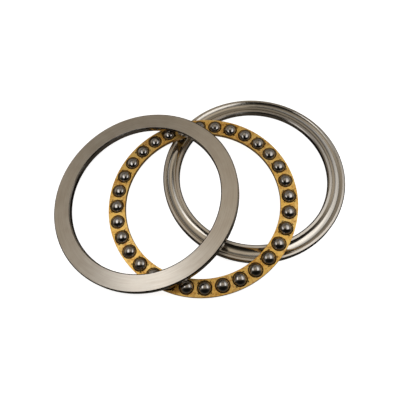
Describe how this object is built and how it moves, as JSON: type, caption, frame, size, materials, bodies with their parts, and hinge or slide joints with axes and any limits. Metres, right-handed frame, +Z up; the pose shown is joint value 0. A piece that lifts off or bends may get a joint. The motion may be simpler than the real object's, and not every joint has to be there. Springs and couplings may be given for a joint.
{
  "type": "thrust ball bearing",
  "caption": "Single-direction thrust ball bearing laid out in its pieces: grooved steel washers and a brass cage of steel balls, each leaning on the next.",
  "frame": {"origin": "on the shaft washer's axis, at its back face, on the surface that the pieces lie on", "axes": "+Z up along the shaft washer's axis, +X from the leaning housing washer towards the shaft washer, +Y away from the viewer"},
  "size_m": [0.4292, 0.3122, 0.0517],
  "materials": {
    "washer_steel": "hardened bearing steel, ground faces and a polished groove",
    "cage_brass": "machined brass, lightly tarnished",
    "ball_steel": "polished bearing steel with a film of oil"
  },
  "bodies": {
    "shaft_washer": {"shaft_washer": "washer_steel"},
    "housing_washer": {"housing_washer": "washer_steel"},
    "cage": {"cage": "cage_brass"},
    "ball_01": {"ball_01": "ball_steel"},
    "ball_02": {"ball_02": "ball_steel"},
    "ball_03": {"ball_03": "ball_steel"},
    "ball_04": {"ball_04": "ball_steel"},
    "ball_05": {"ball_05": "ball_steel"},
    "ball_06": {"ball_06": "ball_steel"},
    "ball_07": {"ball_07": "ball_steel"},
    "ball_08": {"ball_08": "ball_steel"},
    "ball_09": {"ball_09": "ball_steel"},
    "ball_10": {"ball_10": "ball_steel"},
    "ball_11": {"ball_11": "ball_steel"},
    "ball_12": {"ball_12": "ball_steel"},
    "ball_13": {"ball_13": "ball_steel"},
    "ball_14": {"ball_14": "ball_steel"},
    "ball_15": {"ball_15": "ball_steel"},
    "ball_16": {"ball_16": "ball_steel"},
    "ball_17": {"ball_17": "ball_steel"},
    "ball_18": {"ball_18": "ball_steel"},
    "ball_19": {"ball_19": "ball_steel"},
    "ball_20": {"ball_20": "ball_steel"},
    "ball_21": {"ball_21": "ball_steel"},
    "ball_22": {"ball_22": "ball_steel"},
    "ball_23": {"ball_23": "ball_steel"},
    "ball_24": {"ball_24": "ball_steel"},
    "ball_25": {"ball_25": "ball_steel"},
    "ball_26": {"ball_26": "ball_steel"},
    "ball_27": {"ball_27": "ball_steel"},
    "ball_28": {"ball_28": "ball_steel"},
    "ball_29": {"ball_29": "ball_steel"},
    "ball_30": {"ball_30": "ball_steel"},
    "ball_31": {"ball_31": "ball_steel"},
    "ball_32": {"ball_32": "ball_steel"}
  },
  "joints": [
    {"name": "housing_washer_spin", "type": "hinge", "parent": "shaft_washer", "child": "housing_washer", "pos_m": [-0.16, -0.0325, 0.02098], "axis": [-0.1553, -0.0191, 0.9877], "continuous": true},
    {"name": "cage_spin", "type": "hinge", "parent": "shaft_washer", "child": "cage", "pos_m": [-0.0795, -0.043, 0.01787], "axis": [-0.0592, -0.032, 0.9977], "continuous": true},
    {"name": "ball_01_spin", "type": "hinge", "parent": "cage", "child": "ball_01", "pos_m": [0.04126, -0.02396, 0.02565], "axis": [0.9858, 0.1554, 0.0635], "continuous": true},
    {"name": "ball_02_spin", "type": "hinge", "parent": "cage", "child": "ball_02", "pos_m": [0.03519, -0.00073, 0.02603], "axis": [0.9362, 0.345, 0.0666], "continuous": true},
    {"name": "ball_03_spin", "type": "hinge", "parent": "cage", "child": "ball_03", "pos_m": [0.0247, 0.02087, 0.02611], "axis": [0.8506, 0.5214, 0.0672], "continuous": true},
    {"name": "ball_04_spin", "type": "hinge", "parent": "cage", "child": "ball_04", "pos_m": [0.01022, 0.04002, 0.02586], "axis": [0.7324, 0.6778, 0.0652], "continuous": true},
    {"name": "ball_05_spin", "type": "hinge", "parent": "cage", "child": "ball_05", "pos_m": [-0.00772, 0.05599, 0.02531], "axis": [0.586, 0.808, 0.0607], "continuous": true},
    {"name": "ball_06_spin", "type": "hinge", "parent": "cage", "child": "ball_06", "pos_m": [-0.02841, 0.06814, 0.02447], "axis": [0.4171, 0.9073, 0.0539], "continuous": true},
    {"name": "ball_07_spin", "type": "hinge", "parent": "cage", "child": "ball_07", "pos_m": [-0.05107, 0.07603, 0.02338], "axis": [0.2321, 0.9716, 0.045], "continuous": true},
    {"name": "ball_08_spin", "type": "hinge", "parent": "cage", "child": "ball_08", "pos_m": [-0.07482, 0.07934, 0.02208], "axis": [0.0382, 0.9987, 0.0343], "continuous": true},
    {"name": "ball_09_spin", "type": "hinge", "parent": "cage", "child": "ball_09", "pos_m": [-0.09874, 0.07795, 0.02061], "axis": [-0.1571, 0.9873, 0.0224], "continuous": true},
    {"name": "ball_10_spin", "type": "hinge", "parent": "cage", "child": "ball_10", "pos_m": [-0.12193, 0.07191, 0.01904], "axis": [-0.3464, 0.938, 0.0095], "continuous": true},
    {"name": "ball_11_spin", "type": "hinge", "parent": "cage", "child": "ball_11", "pos_m": [-0.14349, 0.06146, 0.01743], "axis": [-0.5224, 0.8527, -0.0036], "continuous": true},
    {"name": "ball_12_spin", "type": "hinge", "parent": "cage", "child": "ball_12", "pos_m": [-0.16259, 0.04699, 0.01583], "axis": [-0.6783, 0.7346, -0.0167], "continuous": true},
    {"name": "ball_13_spin", "type": "hinge", "parent": "cage", "child": "ball_13", "pos_m": [-0.1785, 0.02906, 0.01431], "axis": [-0.8082, 0.5883, -0.0291], "continuous": true},
    {"name": "ball_14_spin", "type": "hinge", "parent": "cage", "child": "ball_14", "pos_m": [-0.1906, 0.00837, 0.01293], "axis": [-0.9069, 0.4193, -0.0404], "continuous": true},
    {"name": "ball_15_spin", "type": "hinge", "parent": "cage", "child": "ball_15", "pos_m": [-0.19843, -0.0143, 0.01173], "axis": [-0.9709, 0.2342, -0.0501], "continuous": true},
    {"name": "ball_16_spin", "type": "hinge", "parent": "cage", "child": "ball_16", "pos_m": [-0.2017, -0.03808, 0.01078], "axis": [-0.9975, 0.0402, -0.0579], "continuous": true},
    {"name": "ball_17_spin", "type": "hinge", "parent": "cage", "child": "ball_17", "pos_m": [-0.20026, -0.06204, 0.01009], "axis": [-0.9858, -0.1554, -0.0635], "continuous": true},
    {"name": "ball_18_spin", "type": "hinge", "parent": "cage", "child": "ball_18", "pos_m": [-0.19419, -0.08527, 0.00971], "axis": [-0.9362, -0.345, -0.0666], "continuous": true},
    {"name": "ball_19_spin", "type": "hinge", "parent": "cage", "child": "ball_19", "pos_m": [-0.1837, -0.10687, 0.00964], "axis": [-0.8506, -0.5214, -0.0672], "continuous": true},
    {"name": "ball_20_spin", "type": "hinge", "parent": "cage", "child": "ball_20", "pos_m": [-0.16922, -0.12602, 0.00988], "axis": [-0.7324, -0.6778, -0.0652], "continuous": true},
    {"name": "ball_21_spin", "type": "hinge", "parent": "cage", "child": "ball_21", "pos_m": [-0.15128, -0.14199, 0.01043], "axis": [-0.586, -0.808, -0.0607], "continuous": true},
    {"name": "ball_22_spin", "type": "hinge", "parent": "cage", "child": "ball_22", "pos_m": [-0.13059, -0.15414, 0.01127], "axis": [-0.4171, -0.9073, -0.0539], "continuous": true},
    {"name": "ball_23_spin", "type": "hinge", "parent": "cage", "child": "ball_23", "pos_m": [-0.10793, -0.16203, 0.01236], "axis": [-0.2321, -0.9716, -0.045], "continuous": true},
    {"name": "ball_24_spin", "type": "hinge", "parent": "cage", "child": "ball_24", "pos_m": [-0.08418, -0.16534, 0.01367], "axis": [-0.0382, -0.9987, -0.0343], "continuous": true},
    {"name": "ball_25_spin", "type": "hinge", "parent": "cage", "child": "ball_25", "pos_m": [-0.06026, -0.16395, 0.01513], "axis": [0.1571, -0.9873, -0.0224], "continuous": true},
    {"name": "ball_26_spin", "type": "hinge", "parent": "cage", "child": "ball_26", "pos_m": [-0.03707, -0.15791, 0.0167], "axis": [0.3464, -0.938, -0.0095], "continuous": true},
    {"name": "ball_27_spin", "type": "hinge", "parent": "cage", "child": "ball_27", "pos_m": [-0.01551, -0.14746, 0.01832], "axis": [0.5224, -0.8527, 0.0036], "continuous": true},
    {"name": "ball_28_spin", "type": "hinge", "parent": "cage", "child": "ball_28", "pos_m": [0.00359, -0.13299, 0.01992], "axis": [0.6783, -0.7346, 0.0167], "continuous": true},
    {"name": "ball_29_spin", "type": "hinge", "parent": "cage", "child": "ball_29", "pos_m": [0.0195, -0.11506, 0.02143], "axis": [0.8082, -0.5883, 0.0291], "continuous": true},
    {"name": "ball_30_spin", "type": "hinge", "parent": "cage", "child": "ball_30", "pos_m": [0.0316, -0.09437, 0.02282], "axis": [0.9069, -0.4193, 0.0404], "continuous": true},
    {"name": "ball_31_spin", "type": "hinge", "parent": "cage", "child": "ball_31", "pos_m": [0.03943, -0.0717, 0.02401], "axis": [0.9709, -0.2342, 0.0501], "continuous": true},
    {"name": "ball_32_spin", "type": "hinge", "parent": "cage", "child": "ball_32", "pos_m": [0.0427, -0.04792, 0.02497], "axis": [0.9975, -0.0402, 0.0579], "continuous": true}
  ],
  "couplings": [
    {"joint": "cage_spin", "follows": "housing_washer_spin", "ratio": 0.5},
    {"joint": "ball_01_spin", "follows": "housing_washer_spin", "ratio": -6.4304},
    {"joint": "ball_02_spin", "follows": "housing_washer_spin", "ratio": -6.4304},
    {"joint": "ball_03_spin", "follows": "housing_washer_spin", "ratio": -6.4304},
    {"joint": "ball_04_spin", "follows": "housing_washer_spin", "ratio": -6.4304},
    {"joint": "ball_05_spin", "follows": "housing_washer_spin", "ratio": -6.4304},
    {"joint": "ball_06_spin", "follows": "housing_washer_spin", "ratio": -6.4304},
    {"joint": "ball_07_spin", "follows": "housing_washer_spin", "ratio": -6.4304},
    {"joint": "ball_08_spin", "follows": "housing_washer_spin", "ratio": -6.4304},
    {"joint": "ball_09_spin", "follows": "housing_washer_spin", "ratio": -6.4304},
    {"joint": "ball_10_spin", "follows": "housing_washer_spin", "ratio": -6.4304},
    {"joint": "ball_11_spin", "follows": "housing_washer_spin", "ratio": -6.4304},
    {"joint": "ball_12_spin", "follows": "housing_washer_spin", "ratio": -6.4304},
    {"joint": "ball_13_spin", "follows": "housing_washer_spin", "ratio": -6.4304},
    {"joint": "ball_14_spin", "follows": "housing_washer_spin", "ratio": -6.4304},
    {"joint": "ball_15_spin", "follows": "housing_washer_spin", "ratio": -6.4304},
    {"joint": "ball_16_spin", "follows": "housing_washer_spin", "ratio": -6.4304},
    {"joint": "ball_17_spin", "follows": "housing_washer_spin", "ratio": -6.4304},
    {"joint": "ball_18_spin", "follows": "housing_washer_spin", "ratio": -6.4304},
    {"joint": "ball_19_spin", "follows": "housing_washer_spin", "ratio": -6.4304},
    {"joint": "ball_20_spin", "follows": "housing_washer_spin", "ratio": -6.4304},
    {"joint": "ball_21_spin", "follows": "housing_washer_spin", "ratio": -6.4304},
    {"joint": "ball_22_spin", "follows": "housing_washer_spin", "ratio": -6.4304},
    {"joint": "ball_23_spin", "follows": "housing_washer_spin", "ratio": -6.4304},
    {"joint": "ball_24_spin", "follows": "housing_washer_spin", "ratio": -6.4304},
    {"joint": "ball_25_spin", "follows": "housing_washer_spin", "ratio": -6.4304},
    {"joint": "ball_26_spin", "follows": "housing_washer_spin", "ratio": -6.4304},
    {"joint": "ball_27_spin", "follows": "housing_washer_spin", "ratio": -6.4304},
    {"joint": "ball_28_spin", "follows": "housing_washer_spin", "ratio": -6.4304},
    {"joint": "ball_29_spin", "follows": "housing_washer_spin", "ratio": -6.4304},
    {"joint": "ball_30_spin", "follows": "housing_washer_spin", "ratio": -6.4304},
    {"joint": "ball_31_spin", "follows": "housing_washer_spin", "ratio": -6.4304},
    {"joint": "ball_32_spin", "follows": "housing_washer_spin", "ratio": -6.4304}
  ]
}
